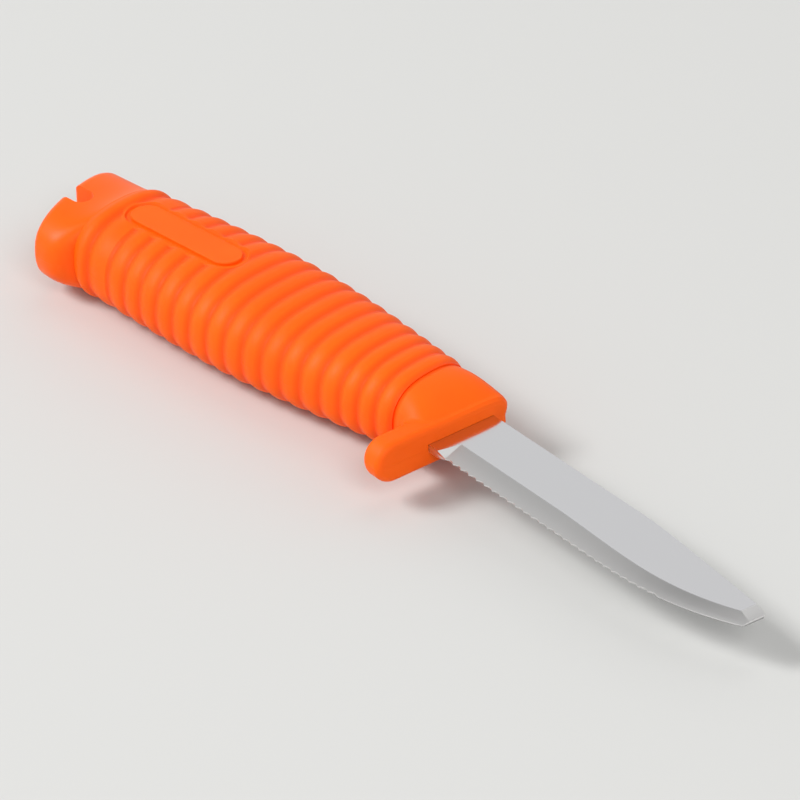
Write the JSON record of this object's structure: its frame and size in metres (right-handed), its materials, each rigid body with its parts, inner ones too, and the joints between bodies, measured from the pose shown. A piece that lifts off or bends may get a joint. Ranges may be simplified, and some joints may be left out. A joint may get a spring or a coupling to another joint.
{
  "type": "rigging knife",
  "caption": "Floating fixed-blade rigging knife: blunt-tipped scalloped blade, ribbed buoyant handle with finger guard and lanyard slot.",
  "frame": {"origin": "middle of the blade, in width and thickness, where it leaves the handle's flat front face", "axes": "+X along the blade to the tip, +Y from the cutting edge to the spine, +Z square to the blade's flat; the knife lies on its side"},
  "size_m": [0.2379, 0.0446, 0.0244],
  "materials": {
    "blade_steel": "satin-ground stainless blade steel",
    "grip_plastic": "high-visibility orange moulded polypropylene, fine matt texture",
    "cap_plastic": "the same orange polypropylene, a little smoother",
    "sleeve_plastic": "plain black moulded plastic, hidden",
    "float_foam": "white closed-cell foam, hidden"
  },
  "bodies": {
    "root": {"blade": "blade_steel", "grip": "grip_plastic", "butt_cap": "cap_plastic", "tang_sleeve": "sleeve_plastic", "float_core": "float_foam"}
  },
  "joints": []
}
